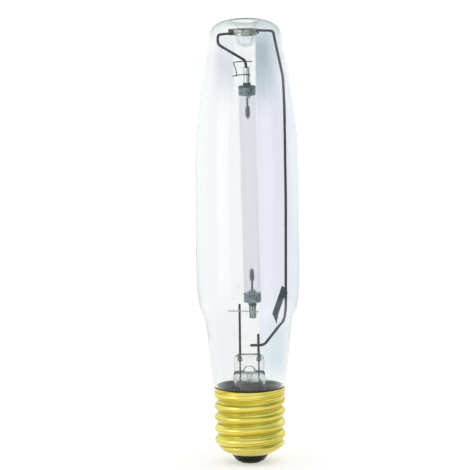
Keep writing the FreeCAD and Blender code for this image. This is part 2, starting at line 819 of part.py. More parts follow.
# ---------------------------------------------------------------- flexible connector across the expansion gap
strip_y = 0 - D.frame_radius - D.strip_radius
anchor_y = 0 - D.feed_upper_radius - D.strip_radius
drop_y = anchor_y - D.strip_radius * 2 - 0.05
tail_z = D.feed_top - 3.8
wire(
    "flexible_connector",
    D.strip_radius,
    [
        (3.6, strip_y, D.feed_top + 3.4),
        (-2.0, strip_y, D.feed_top + 3.5),
        (-7.1, strip_y - 0.2, D.feed_top + 3.1),
        (-5.5, (strip_y + drop_y) / 2, D.feed_top + 0.1),
        (-5.0, drop_y, D.feed_top - 2.5),
        (-5.0, drop_y, tail_z - 0.7),
    ],
    1.2,
)
wire("connector_tail", D.strip_radius, [(-7.3, anchor_y, tail_z - 0.7), (-4.0, anchor_y, tail_z), (2.3, anchor_y, tail_z)], 3.0)

# ---------------------------------------------------------------- check and write
doc.recompute()
problems = []
for obj in doc.Objects:
    if "Invalid" in obj.State or "Error" in obj.State:
        problems.append("%s is %s" % (obj.Name, obj.State))
labels = [obj.Label for obj in NODES]
for obj in NODES:
    if obj.Shape.isNull() or not obj.Shape.isValid() or len(obj.Shape.Solids) != 1:
        problems.append("%s has a bad shape: %s" % (obj.Label, obj.Shape.ShapeType if not obj.Shape.isNull() else None))
if len(set(labels)) != len(labels):
    problems.append("two sub-parts share a name")
if problems:
    raise RuntimeError("; ".join(problems))
os.makedirs("parts", exist_ok=True)
for obj in NODES:
    obj.Shape.exportStep("parts/%s.step" % obj.Label)
print("wrote %d sub-parts" % len(NODES))
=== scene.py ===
import math

import bpy
import numpy as np
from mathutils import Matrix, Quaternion, Vector


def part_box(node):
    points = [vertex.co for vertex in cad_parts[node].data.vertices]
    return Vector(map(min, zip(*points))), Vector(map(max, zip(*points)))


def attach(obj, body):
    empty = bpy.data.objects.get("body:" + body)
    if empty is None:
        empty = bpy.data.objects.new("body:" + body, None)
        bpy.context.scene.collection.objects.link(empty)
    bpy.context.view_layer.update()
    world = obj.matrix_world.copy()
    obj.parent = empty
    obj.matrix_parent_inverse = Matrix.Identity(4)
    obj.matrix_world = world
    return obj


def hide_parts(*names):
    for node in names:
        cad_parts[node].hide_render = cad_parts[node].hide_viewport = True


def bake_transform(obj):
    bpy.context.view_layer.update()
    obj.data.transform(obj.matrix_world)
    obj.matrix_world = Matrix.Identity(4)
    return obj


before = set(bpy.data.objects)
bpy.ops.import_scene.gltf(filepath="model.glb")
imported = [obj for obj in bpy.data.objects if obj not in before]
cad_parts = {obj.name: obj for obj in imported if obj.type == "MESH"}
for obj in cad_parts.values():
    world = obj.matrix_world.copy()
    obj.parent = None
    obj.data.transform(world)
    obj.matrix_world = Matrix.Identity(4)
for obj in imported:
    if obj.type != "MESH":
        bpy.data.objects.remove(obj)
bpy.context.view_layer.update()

# A clear high-pressure sodium grow lamp.  Its lengths below are millimetres: closed_mesh() and the materials
# turn them to metres with MM.  The studio's own lengths, near the end, are metres.
MM = 0.001
# How far the base's thread climbs in one turn.
PITCH = 6.35
# All that stays with the base, and the arc tube's end that slides when the tube grows hot.
LAMP, UPPER = "lamp", "arc_tube_upper_end"


def span(node):
    """Lowest and highest corner of a CAD node, in millimetres."""
    low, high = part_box(node)
    return np.array(low) / MM, np.array(high) / MM


# ------------------------------------------------------------------ shapes
def closed_mesh(name, rows, ring=False):
    """Closed skin over a grid of points: row after row along the piece, columns round it.

    A ring joins its last row to its first.  Otherwise each end is closed by a fan to the row's mean point.
    The faces are turned over if the volume they enclose comes out negative.
    """
    count, wide = rows.shape[:2]
    i = np.arange(wide)
    j = (i + 1) % wide
    a = np.arange(count if ring else count - 1)[:, None]
    b = (a + 1) % count
    quads = np.stack([a * wide + i, a * wide + j, b * wide + j, b * wide + i], -1).reshape(-1, 4)
    points = rows.reshape(-1, 3)
    fans = np.zeros((0, 3), int)
    if not ring:
        first, last = len(points), len(points) + 1
        points = np.concatenate([points, [rows[0].mean(0), rows[-1].mean(0)]])
        base = (count - 1) * wide
        start_fan = np.stack([j, i, np.full(wide, first)], -1)
        end_fan = np.stack([base + i, base + j, np.full(wide, last)], -1)
        fans = np.concatenate([start_fan, end_fan])
    corner = points[np.concatenate([quads[:, :3], quads[:, [0, 2, 3]], fans])]
    volume = np.einsum("ij,ij->i", corner[:, 0], np.cross(corner[:, 1], corner[:, 2])).sum()
    if volume < 0:
        quads, fans = quads[:, ::-1], fans[:, ::-1]
    mesh = bpy.data.meshes.new(name)
    mesh.from_pydata((points * MM).tolist(), [], quads.tolist() + fans.tolist())
    return mesh


def smooth(mesh, sharp):
    """Smooth shading, but for edges whose faces meet at over the sharp angle, in degrees."""
    mesh.polygons.foreach_set("use_smooth", np.ones(len(mesh.polygons), bool))
    mesh.set_sharp_from_angle(angle=math.radians(sharp))


def skin(name, rows, node, body, material, ring=False, sharp=38):
    """Closed mesh put in the scene in place of a CAD node, on that node's body."""
    mesh = closed_mesh(name, rows, ring)
    smooth(mesh, sharp)
    mesh.materials.append(material)
    obj = bpy.data.objects.new(name, mesh)
    bpy.context.scene.collection.objects.link(obj)
    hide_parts(node)
    if body:
        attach(obj, body)
    return obj


def lathe(outline, wide=96):
    """Surface of revolution: each (radius, height) of the outline goes once round the Z axis."""
    outline = np.asarray(outline, float)
    angle = np.linspace(0, 2 * np.pi, wide, endpoint=False)
    r, z = outline[:, 0, None], outline[:, 1, None]
    return np.stack([r * np.cos(angle), r * np.sin(angle), z + 0 * angle], -1)


def curve(points, each=8):
    """Centripetal Catmull-Rom curve: it passes through every point, with each samples to a span."""
    p = np.asarray(points, float)
    p = np.concatenate([[2 * p[0] - p[1]], p, [2 * p[-1] - p[-2]]])
    knot = np.concatenate([[0], np.cumsum(np.sqrt(np.linalg.norm(np.diff(p, axis=0), axis=1)))])
    t0, t1, t2, t3 = (knot[k : len(knot) - 3 + k, None, None] for k in range(4))
    p0, p1, p2, p3 = (p[k : len(p) - 3 + k, None, :] for k in range(4))
    t = t1 + (t2 - t1) * np.linspace(0, 1, each, endpoint=False)[None, :, None]
    a1 = (t1 - t) / (t1 - t0) * p0 + (t - t0) / (t1 - t0) * p1
    a2 = (t2 - t) / (t2 - t1) * p1 + (t - t1) / (t2 - t1) * p2
    a3 = (t3 - t) / (t3 - t2) * p2 + (t - t2) / (t3 - t2) * p3
    b1 = (t2 - t) / (t2 - t0) * a1 + (t - t0) / (t2 - t0) * a2
    b2 = (t3 - t) / (t3 - t1) * a2 + (t - t1) / (t3 - t1) * a3
    c = (t2 - t) / (t2 - t1) * b1 + (t - t1) / (t2 - t1) * b2
    return np.concatenate([c.reshape(-1, p.shape[1]), p[-2:-1]])


def arc(cx, cy, radius, start, end, count=12):
    """Points on a circle from one angle to another, in degrees."""
    a = np.radians(np.linspace(start, end, count))
    return np.stack([cx + radius * np.cos(a), cy + radius * np.sin(a)], -1)


def offset(line, depth):
    """A line in the plane moved sideways by depth, to the left of its direction."""
    along = np.gradient(line, axis=0)
    along /= np.linalg.norm(along, axis=1)[:, None]
    return line + depth * np.stack([-along[:, 1], along[:, 0]], -1)


def bent(points, bend, each=9):
    """Straight legs joined by parabolic bends that start at most the bend radius from each corner."""
    p = np.asarray(points, float)
    before, corner, after = p[:-2], p[1:-1], p[2:]
    leg_in = np.linalg.norm(corner - before, axis=1)[:, None]
    leg_out = np.linalg.norm(after - corner, axis=1)[:, None]
    u, w = (corner - before) / leg_in, (after - corner) / leg_out
    reach = np.minimum(bend, 0.45 * np.minimum(leg_in, leg_out))
    start, end = corner - u * reach, corner + w * reach
    t = np.linspace(0, 1, each)[None, :, None]
    bends = (1 - t) ** 2 * start[:, None] + 2 * t * (1 - t) * corner[:, None] + t**2 * end[:, None]
    line = np.concatenate([p[:1], bends.reshape(-1, 3), p[-1:]])
    keep = np.concatenate([[True], np.linalg.norm(np.diff(line, axis=0), axis=1) > 1e-6])
    return line[keep]


def sweep(line, radius, wide=20, reference=(0, 1, 0), dome=0.45, flat=1.0):
    """Round section carried along a line, with a low dome on each end.

    At each point the section's two axes are the cross products of the direction with a fixed reference.
    flat scales the second axis, which makes a wire into a ribbon.
    """
    line = np.asarray(line, float)
    along = np.gradient(line, axis=0)
    along /= np.linalg.norm(along, axis=1)[:, None]
    u = np.cross(along, np.array(reference, float))
    u /= np.linalg.norm(u, axis=1)[:, None]
    v = np.cross(along, u)
    rise = np.radians([85, 65, 45, 22])
    head = line[0] - along[0] * (radius * dome * np.sin(rise))[:, None]
    tail = line[-1] + along[-1] * (radius * dome * np.sin(rise[::-1]))[:, None]
    centre = np.concatenate([head, line, tail])
    size = radius * np.concatenate([np.cos(rise), np.ones(len(line)), np.cos(rise[::-1])])
    u = np.concatenate([np.repeat(u[:1], 4, 0), u, np.repeat(u[-1:], 4, 0)])
    v = np.concatenate([np.repeat(v[:1], 4, 0), v, np.repeat(v[-1:], 4, 0)])
    angle = np.linspace(0, 2 * np.pi, wide, endpoint=False)[None, :, None]
    ring = np.cos(angle) * u[:, None] + flat * np.sin(angle) * v[:, None]
    return centre[:, None] + size[:, None, None] * ring


def rim_edges(r0, r1, z0, z1, soft=0.12):
    """Outline of a ring from inner to outer radius and from low to high, its four edges softened by arcs."""
    s = soft
    return np.concatenate(
        [
            arc(r1 - s, z0 + s, s, -90, 0, 5),
            arc(r1 - s, z1 - s, s, 0, 90, 5),
            arc(r0 + s, z1 - s, s, 90, 180, 5),
            arc(r0 + s, z0 + s, s, 180, 270, 5),
        ]
    )


def dense(outline, step=1.5, closed=True):
    """An outline with points added on long straight stretches, so that no edge is over the step."""
    line = np.concatenate([outline, outline[:1]]) if closed else outline
    length = np.concatenate([[0], np.cumsum(np.linalg.norm(np.diff(line, axis=0), axis=1))])
    wanted = np.unique(np.concatenate([length, np.arange(0, length[-1], step)]))
    if closed:
        wanted = wanted[:-1]
    return np.stack([np.interp(wanted, length, line[:, k]) for k in range(line.shape[1])], -1)


# ------------------------------------------------------------------ materials
def srgb(code):
    """Hex colour to the linear values that shaders use."""
    c = np.array([int(code[k : k + 2], 16) for k in (1, 3, 5)]) / 255
    return (*np.where(c <= 0.04045, c / 12.92, ((c + 0.055) / 1.055) ** 2.4).tolist(), 1.0)


def add(mat, kind, settings=None, **inputs):
    """Adds one node and returns its first output, or the one that settings call out.

    settings are the node's own properties, and stops among them fills a colour ramp.  The other names are
    its inputs, with _ for a space, or i and a number where inputs share a name.  They take a value or an
    output.
    """
    tree = mat.node_tree
    made = tree.nodes.new("ShaderNode" + kind)
    settings = dict(settings or {})
    out = settings.pop("out", 0)
    stops = settings.pop("stops", ())
    for _ in range(len(stops) - 2):
        made.color_ramp.elements.new(0.5)
    for k, (at, code) in enumerate(stops):
        made.color_ramp.elements[k].position = at
        made.color_ramp.elements[k].color = srgb(code)
    for key, value in settings.items():
        setattr(made, key, value)
    for key, value in inputs.items():
        socket = made.inputs[int(key[1:]) if key[1:].isdigit() else key.replace("_", " ")]
        if isinstance(value, bpy.types.NodeSocket):
            tree.links.new(value, socket)
        else:
            socket.default_value = value
    return made.outputs[out] if made.outputs else None


def new_material(name):
    mat = bpy.data.materials.new(name)
    mat.use_nodes = True
    mat.node_tree.nodes.clear()
    return mat


def worked_surface(name, cell, stops, rough, bump, detail=3.0, **shader):
    """Opaque finish whose colour, roughness and relief all follow one noise.

    cell is the size in millimetres of the noise's lumps along X, Y and Z, rough the lowest and highest
    roughness, and bump the depth of the relief in millimetres.
    """
    mat = new_material(name)
    place = add(mat, "TexCoord", {"out": "Object"})
    scaled = add(mat, "Mapping", Vector=place, Scale=tuple(1000 / c for c in cell))
    noise = add(mat, "TexNoise", Vector=scaled, Scale=1.0, Detail=detail, Roughness=0.6)
    colour = add(mat, "ValToRGB", {"stops": stops}, Fac=noise)
    dull = add(mat, "MapRange", Value=noise, From_Min=0.3, From_Max=0.7, To_Min=rough[0], To_Max=rough[1])
    relief = add(mat, "Bump", Height=noise, Distance=bump * MM)
    made = add(mat, "BsdfPrincipled", Base_Color=colour, Roughness=dull, Normal=relief, **shader)
    add(mat, "OutputMaterial", Surface=made)
    return mat


def drawn_glass(name, tint, ior, cell, bump, depth_tint, density, rough=0.0, painted_shades=(), edge=None):
    """Clear glass with long shallow waves.

    depth_tint and density colour it by the glass that light goes through.  Each of the painted films is a
    patch of painted shade: a colour, and its edges: an axis, and where along it, in millimetres, the shade
    starts and is full.  edge is a painted reflection: the colour given to the glass where it is seen edge on,
    and the tilts, from 0 to 1, where that starts and is full.
    """
    mat = new_material(name)
    place = add(mat, "TexCoord", {"out": "Object"})
    scaled = add(mat, "Mapping", Vector=place, Scale=tuple(1000 / c for c in cell))
    noise = add(mat, "TexNoise", Vector=scaled, Scale=1.0, Detail=1.0)
    relief = add(mat, "Bump", Height=noise, Distance=bump * MM)
    colour = srgb(tint)
    # Painted shade: patches of a darker colour mixed into the glass's own colour, each within its edges.
    if painted_shades:
        shade_mottle = add(mat, "TexNoise", Vector=scaled, Scale=2.0, Detail=3.0)
    for code, edges in painted_shades:
        shade_cover = add(mat, "MapRange", Value=shade_mottle, From_Min=0.25, From_Max=0.6, To_Min=0.6, To_Max=1.0)
        for axis, start, full in edges:
            along = add(mat, "SeparateXYZ", {"out": axis}, Vector=place)
            share = add(mat, "MapRange", Value=along, From_Min=start * MM, From_Max=full * MM)
            shade_cover = add(mat, "Math", {"operation": "MULTIPLY"}, i0=shade_cover, i1=share)
        colour = add(mat, "Mix", {"data_type": "RGBA", "out": 2}, i0=shade_cover, i6=colour, i7=srgb(code))
    # Painted reflection: the colour turns to the edge colour where the glass is seen edge on.
    if edge:
        facing = add(mat, "LayerWeight", {"out": "Facing"}, Blend=0.5)
        edge_on = add(mat, "MapRange", Value=facing, From_Min=edge[1], From_Max=edge[2])
        colour = add(mat, "Mix", {"data_type": "RGBA", "out": 2}, i0=edge_on, i6=colour, i7=srgb(edge[0]))
    made = add(
        mat,
        "BsdfPrincipled",
        Base_Color=colour,
        Roughness=rough,
        IOR=ior,
        Transmission_Weight=1.0,
        Normal=relief,
    )
    inside = add(mat, "VolumeAbsorption", Color=srgb(depth_tint), Density=density)
    add(mat, "OutputMaterial", Surface=made, Volume=inside)
    return mat


# Borosilicate bulb, drawn lengthwise: clear in the middle, grey-green where the wall is seen edge on, partly
# from the glass that light goes through and partly a painted reflection.  Faint grey and lavender patches of
# painted shade run down one side, heavier in the dome and by the press.
bulb_glass = drawn_glass(
    "borosilicate_drawn",
    "#f8f9f9",
    1.474,
    (16, 16, 110),
    0.04,
    "#8fa79f",
    1.5,
    painted_shades=[
        ("#eff0f5", [("X", 5.0, 6.3), ("Z", 50, 90)]),
        ("#cdd6da", [("X", 5.2, 6.2), ("X", 20, 10), ("Z", 196, 222), ("Z", 246, 237)]),
        ("#eceef2", [("X", -19, -14), ("X", -5.5, -7.5), ("Z", 204, 216), ("Z", 240, 230)]),
        ("#f5f6f6", [("X", 5.0, 4.0), ("Z", 90, 80)]),
        ("#e6ecef", [("X", 4.5, 9), ("X", 23, 18), ("Z", 46, 54), ("Z", 84, 76)]),
    ],
    edge=("#b4c4bf", 0.74, 0.96),
)
# Stem glass, pressed while soft: lumpy, so it breaks up what is behind it, with dark outlines painted where
# it is
# seen edge on: a painted reflection.  The flare by the neck's seal carries painted shade, a grey patch.
stem_glass = drawn_glass(
    "lead_glass_pressed",
    "#fbfdfc",
    1.56,
    (3.0, 3.0, 3.6),
    0.3,
    "#7d938c",
    7.0,
    painted_shades=[("#98a19f", [("Z", 47.5, 44.5)])],
    edge=("#121a19", 0.5, 0.85),
)
# Glass beaded on oxidised wire: cloudy grey drops.
bead_glass = drawn_glass("seal_glass_beaded", "#a3b0ae", 1.50, (1.6, 1.6, 1.6), 0.1, "#6b7a76", 160.0, 0.22)

# Rolled brass: bright yellow crests, painted shade down in the grooves, darker and browner, and fine lines
# that the rolls left, which climb with the thread.
LINES_A_PITCH = 11
# The polish starts at the first radius and is full at the second; below the first radius the grooves get
# painted
# shade.  The shoulder is polished too: fully up to the first height and not at all over the second.
POLISH_RADII = (17.5, 18.4)
POLISH_HEIGHTS = (9.5, 11.5)
brass = new_material("brass_rolled")
place = add(brass, "TexCoord", {"out": "Object"})
x, y, z = (add(brass, "SeparateXYZ", {"out": axis}, Vector=place) for axis in "XYZ")
bearing = add(brass, "Math", {"operation": "ARCTAN2"}, i0=y, i1=x)
climb = add(brass, "Math", {"operation": "MULTIPLY"}, i0=z, i1=2 * math.pi / (PITCH * MM))
phase = add(brass, "Math", {"operation": "SUBTRACT"}, i0=climb, i1=bearing)
turn = [add(brass, "Math", {"operation": trig}, i0=phase) for trig in ("COSINE", "SINE")]
wound = add(brass, "CombineXYZ", X=turn[0], Y=turn[1])
spread = add(brass, "VectorMath", {"operation": "MULTIPLY"}, i0=wound, i1=(LINES_A_PITCH / 2 / math.pi,) * 3)
drift = add(brass, "Mapping", Vector=place, Scale=(35, 35, 70))
thread_place = add(brass, "VectorMath", {"operation": "ADD"}, i0=spread, i1=drift)
lines = add(brass, "TexNoise", Scale=1.0, Detail=3.0, Vector=thread_place)
blotch_place = add(brass, "Mapping", Vector=place, Scale=(110, 110, 160))
blotch = add(brass, "TexNoise", Scale=1.0, Detail=5.0, Vector=blotch_place)
level = add(brass, "VectorMath", {"operation": "MULTIPLY"}, i0=place, i1=(1, 1, 0))
reach = add(brass, "VectorMath", {"operation": "LENGTH", "out": "Value"}, i0=level)
groove_r, crest_r = (radius * MM for radius in POLISH_RADII)
crest = add(brass, "MapRange", Value=reach, From_Min=groove_r, From_Max=crest_r)
full_z, none_z = (height * MM for height in POLISH_HEIGHTS)
below = add(brass, "MapRange", Value=z, From_Min=none_z, From_Max=full_z)
crest = add(brass, "Math", {"operation": "MAXIMUM"}, i0=crest, i1=below)
POLISH_STOPS = [(0.38, "#a8962c"), (0.45, "#e0cd4a"), (0.64, "#f7ee8c")]
polish = add(brass, "ValToRGB", {"stops": POLISH_STOPS}, Fac=lines)
# Painted shade for the grooves: a darker, blotched olive-brown.
groove_shade = add(brass, "ValToRGB", {"stops": [(0.3, "#8a7d26"), (0.7, "#bdad40")]}, Fac=blotch)
yellow = add(brass, "Mix", {"data_type": "RGBA", "out": 2}, i0=crest, i6=groove_shade, i7=polish)
sheen = add(brass, "MapRange", Value=lines, From_Min=0.3, From_Max=0.7, To_Min=0.34, To_Max=0.22)
rolled = add(brass, "Bump", Height=lines, Distance=0.14 * MM)
add(
    brass,
    "OutputMaterial",
    Surface=add(brass, "BsdfPrincipled", Base_Color=yellow, Metallic=1.0, Roughness=sheen, Normal=rolled),
)

# What every metal finish has in common.
METAL = {"Metallic": 1.0}
# Eyelet brass with painted shade: dark brown-olive and dull, as it lies in shadow under the base.
contact_brass = worked_surface(
    "brass_painted_shade", (1.2, 1.2, 1.2), [(0.3, "#3a3520"), (0.7, "#5f5630")], (0.35, 0.55), 0.03, **METAL
)
# Near-black lead glass cast into the shell: softly glossy, green in its highlights, with a few flow lines.
vitrite = worked_surface(
    "black_glass_cast",
    (5, 5, 1.5),
    [(0.3, "#0b1303"), (0.7, "#1a2609")],
    (0.25, 0.4),
    0.04,
    IOR=1.5,
    Specular_IOR_Level=0.1,
)
# Basing cement, baked: grey-black grit with paler streaks where the resin ran.
cement = worked_surface(
    "basing_cement_baked",
    (0.9, 0.9, 5),
    [(0.3, "#262c2c"), (0.55, "#4b5655"), (0.75, "#7d8a86")],
    (0.45, 0.8),
    0.2,
    detail=6.0,
)
# Sintered alumina plug: matt chalk white with pores.
plug_ceramic = worked_surface(
    "alumina_sintered", (0.3, 0.3, 0.3), [(0.3, "#cdd5d6"), (0.7, "#eaeeed")], (0.5, 0.65), 0.03, detail=5.0
)
# Fused sealing frit: dark, half glossy, with small bubbles.
frit_glass = worked_surface(
    "sealing_frit_fused",
    (0.7, 0.7, 0.7),
    [(0.3, "#1d2324"), (0.7, "#4a5352")],
    (0.25, 0.5),
    0.08,
    detail=4.0,
)
# Frame wire, drawn and fired: charcoal with long lines that catch a thin highlight.
frame_metal = worked_surface(
    "nickel_iron_wire_fired",
    (0.35, 0.35, 7),
    [(0.3, "#070a0b"), (0.7, "#262f32")],
    (0.2, 0.34),
    0.015,
    **METAL,
)
# Lead wires, oxidised at the seal: nearly black.
lead_metal = worked_surface(
    "lead_wire_oxidised", (0.3, 0.3, 4), [(0.3, "#0a0e10"), (0.7, "#242c2f")], (0.3, 0.45), 0.015, **METAL
)
# Bright nickel crossbar: a pale line.
bright_metal = worked_surface(
    "nickel_wire_bright", (3, 0.3, 0.3), [(0.3, "#b3bcbd"), (0.7, "#d9dfde")], (0.2, 0.3), 0.01, **METAL
)
# Niobium tube, drawn: painted highlight, pale grey with a soft lighter streak down its side.
niobium = worked_surface(
    "niobium_tube_painted_highlight", (0.7, 0.7, 6), [(0.35, "#8b979b"), (0.6, "#eef2f2")], (0.18, 0.3), 0.015, **METAL
)
# The lower tube: nearly black, with a painted highlight as one light streak.
niobium_streaked = worked_surface(
    "niobium_tube_painted_streak",
    (0.55, 0.55, 9),
    [(0.44, "#12181a"), (0.58, "#b4bfc2")],
    (0.2, 0.35),
    0.015,
    **METAL,
)
# Niobium wire, drawn thin and fired: a dark thread.
niobium_thread = worked_surface(
    "niobium_wire_fired", (0.3, 0.3, 0.3), [(0.3, "#14191b"), (0.7, "#3b4548")], (0.25, 0.4), 0.01, **METAL
)
# Niobium foil wrapped round the tube's ends: crinkled blue-grey.
foil = worked_surface(
    "niobium_foil_wrapped", (1.1, 1.1, 1.8), [(0.35, "#51656c"), (0.62, "#a3b5b9")], (0.4, 0.6), 0.1, **METAL
)
# Sintered tungsten: dull dark grey.
tungsten = worked_surface(
    "tungsten_sintered", (0.25, 0.25, 0.25), [(0.3, "#3f484c"), (0.7, "#6f7a7f")], (0.4, 0.55), 0.02, **METAL
)
# Getter alloy pressed into a strip: matt powder grey, finely pitted.
getter_metal = worked_surface(
    "getter_powder_pressed",
    (0.6, 0.6, 0.6),
    [(0.3, "#31474e"), (0.7, "#5d747b")],
    (0.5, 0.68),
    0.05,
    **METAL,
)
# Spring steel, heat tinted green-black, rolled smooth, so it turns pale where it faces the light.
spring_metal = worked_surface(
    "spring_steel_tinted", (4, 4, 0.5), [(0.35, "#5f7267"), (0.6, "#c3cec2")], (0.1, 0.2), 0.01, **METAL
)
# The clip's ears: dark green-black.
ear_steel = worked_surface(
    "spring_steel_blackened",
    (1.5, 1.5, 0.6),
    [(0.3, "#09100c"), (0.7, "#1d2a23")],
    (0.25, 0.4),
    0.03,
    **METAL,
)
# Tin solder: soft bright grey with frozen ripples.
solder_metal = worked_surface(
    "solder_tin", (0.9, 0.9, 0.9), [(0.3, "#8f9290"), (0.7, "#c6c9c5")], (0.3, 0.5), 0.05, **METAL
)
# Copper-clad lead, browned by the seal's heat.
copper = worked_surface(
    "copper_clad_lead", (0.3, 0.3, 5), [(0.3, "#6d5a4c"), (0.7, "#9a8472")], (0.35, 0.5), 0.015, **METAL
)

# Polycrystalline alumina: milky blue-white with faint lines from extrusion.  What it holds shows through it.
alumina = new_material("alumina_translucent")
place = add(alumina, "TexCoord", {"out": "Object"})
drawn_place = add(alumina, "Mapping", Vector=place, Scale=(420, 420, 26))
draw = add(alumina, "TexNoise", Scale=1.0, Vector=drawn_place)
milk = add(alumina, "ValToRGB", {"stops": [(0.3, "#f8fafe"), (0.7, "#ffffff")]}, Fac=draw)
skin_line = add(alumina, "Bump", Height=draw, Distance=0.008 * MM)
add(
    alumina,
    "OutputMaterial",
    Surface=add(
        alumina,
        "BsdfPrincipled",
        Base_Color=milk,
        Roughness=0.34,
        IOR=1.06,
        Transmission_Weight=0.92,
        Normal=skin_line,
    ),
)

# ------------------------------------------------------------------ outer bulb
low, high = span("glass_envelope")
top, wide_r, foot = high[2], (high[0] - low[0]) / 2, low[2]
WALL = 1.0
NECK_R = 16.4
# The dimple is a round bowl, its centre this far below the top, and a lip that turns out into the dome.
BOWL_R, BOWL_DOWN = 5.1, 8.95
LIP_X, LIP_R = 8.3, 3.4
bowl = arc(0, top - BOWL_DOWN, BOWL_R, -90, -4, 18)
lip = arc(LIP_X, top - LIP_R, LIP_R, 176, 92, 14)
body_line = curve(
    [
        (LIP_X, top),
        (12.0, top - 0.45),
        (15.2, top - 1.6),
        (17.9, top - 3.6),
        (19.55, top - 6.4),
        (20.3, top - 10.0),
        (21.2, top - 17.2),
        (22.6, top - 24.0),
        (24.7, top - 37.2),
        (26.3, top - 48.0),
        (27.6, top - 61.0),
        (28.3, top - 72.0),
        (wide_r, top - 84.0),
        (wide_r, 150.0),
        (wide_r, 125.0),
        (wide_r, 106.0),
        (28.3, 98.5),
        (27.95, 94.0),
        (27.4, 90.0),
        (26.5, 86.6),
        (25.35, 83.8),
        (24.35, 81.3),
        (23.75, 78.4),
        (23.3, 75.2),
        (22.7, 69.0),
        (21.95, 61.5),
        (21.1, 53.3),
        (20.45, 47.0),
        (20.1, 44.6),
        (19.4, 43.0),
        (18.2, 41.8),
        (16.9, 39.9),
        (NECK_R, 38.0),
        (NECK_R, foot),
    ],
    6,
)
outside = np.concatenate([bowl, lip, body_line])
inside = offset(outside, -WALL)
inside[:, 0] = np.maximum(inside[:, 0], 0.0)
whole = np.concatenate([outside, inside[::-1]])[1:-1]
skin("outer_bulb", lathe(whole, 180), "glass_envelope", LAMP, bulb_glass, sharp=60)

# ------------------------------------------------------------------ stem: flare, tube and press
low, high = span("stem")
rim, press_top = low[2], high[2]


def squarish(sections, wide=96):
    """Rows of superellipses: (height, half width, half depth, power).

    A power of 2 is an oval, and more is squarer.
    """
    s = np.asarray(sections, float)
    angle = np.linspace(0, 2 * np.pi, wide, endpoint=False)
    c, d = np.cos(angle), np.sin(angle)
    z, a, b, p = (s[:, k, None] for k in range(4))
    x = a * np.sign(c) * np.abs(c) ** (2 / p)
    y = b * np.sign(d) * np.abs(d) ** (2 / p)
    return np.stack([x, y, z + 0 * angle], -1)


def round_rows(line):
    """Round sections, as squarish() takes them, from (radius, height) points."""
    return np.stack([line[:, 1], line[:, 0], line[:, 0], np.full(len(line), 2.0)], -1)


flare = curve(
    [
        (16.2, rim),
        (16.2, rim + 0.9),
        (15.2, rim + 1.2),
        (12.0, rim + 3.2),
        (9.9, rim + 6.4),
        (9.05, rim + 10),
    ],
    6,
)
press = curve(
    [
        (rim + 13, 9.0, 9.0, 2.0),
        (46.0, 9.0, 7.6, 2.1),
        (48.6, 8.85, 5.4, 2.3),
        (50.4, 8.55, 3.2, 2.8),
        (51.4, 8.1, 2.5, 3.2),
        (52.6, 8.2, 2.35, 3.6),
        (56.0, 8.3, 2.45, 3.8),
        (58.6, 8.1, 2.5, 3.6),
        (60.0, 7.3, 2.3, 3.2),
        (60.8, 6.0, 1.7, 2.8),
        (press_top, 4.6, 0.8, 2.4),
    ],
    6,
)
bore_line = curve([(15.0, rim), (11.4, rim + 3.4), (9.0, rim + 6.8), (8.05, rim + 10)], 6)
bore = curve(
    [
        (rim + 13, 8.0, 8.0, 2.0),
        (46.0, 7.8, 6.4, 2.1),
        (48.4, 7.4, 3.6, 2.3),
        (49.6, 6.4, 1.5, 2.4),
        (50.0, 4.0, 0.5, 2.2),
    ],
    6,
)
stem_rows = np.concatenate([bore[::-1], round_rows(bore_line)[::-1], round_rows(flare), press])
stem = skin("stem_glass", squarish(stem_rows), "stem", LAMP, stem_glass, sharp=60)

# The exhaust vent through the press: shares of its half width, and heights over its foot.
VENT_HALF = 2.85
vent_z = press_top - 10.4
HEXAGON = ((-0.6, 0), (0.6, 0), (1, 1.1), (0.5, 3.0), (-0.5, 3.0), (-1, 1.1))
sides = dense(np.array([(VENT_HALF * share, vent_z + height) for share, height in HEXAGON]), 0.5)
middle = sides.mean(0)
# The vent's edge has melted round, so the cutter is wider at the press's two faces than between them.
WIDENING = ((-6, 1.9), (-2.5, 1.32), (-1, 1), (1, 1), (2.5, 1.32), (6, 1.9))
cutter_rows = []
for depth, grow in WIDENING:
    outline = middle + (sides - middle) * grow
    cutter_rows.append(np.column_stack([outline[:, 0], np.full(len(outline), depth), outline[:, 1]]))
cutter = bpy.data.objects.new("vent_cutter", closed_mesh("vent_cutter", np.stack(cutter_rows)))
bpy.context.scene.collection.objects.link(cutter)
cut = stem.modifiers.new("vent", "BOOLEAN")
cut.operation, cut.solver, cut.object = "DIFFERENCE", "EXACT", cutter
bpy.context.view_layer.update()
holed = bpy.data.meshes.new_from_object(stem.evaluated_get(bpy.context.evaluated_depsgraph_get()))
stem.modifiers.clear()
smooth(holed, 50)
stem.data = holed
bpy.data.objects.remove(cutter)

low, high = span("exhaust_tube")
r = (high[0] - low[0]) / 2
EXHAUST_WALL = 0.7
# The tube is sealed off at its foot, where its bore ends in a round tip centred this far up.
BORE_TIP = 3.4
bore_r, MIDWAY = r - EXHAUST_WALL, 40.0
tube_line = np.concatenate(
    [
        arc(0, low[2] + r, r, -88, 0, 10),
        [(r, MIDWAY), (r, high[2]), (bore_r, high[2]), (bore_r, MIDWAY)],
        arc(0, low[2] + BORE_TIP, bore_r, 0, -88, 8),
    ]
)
skin("exhaust_tube_glass", lathe(tube_line, 40), "exhaust_tube", LAMP, stem_glass)

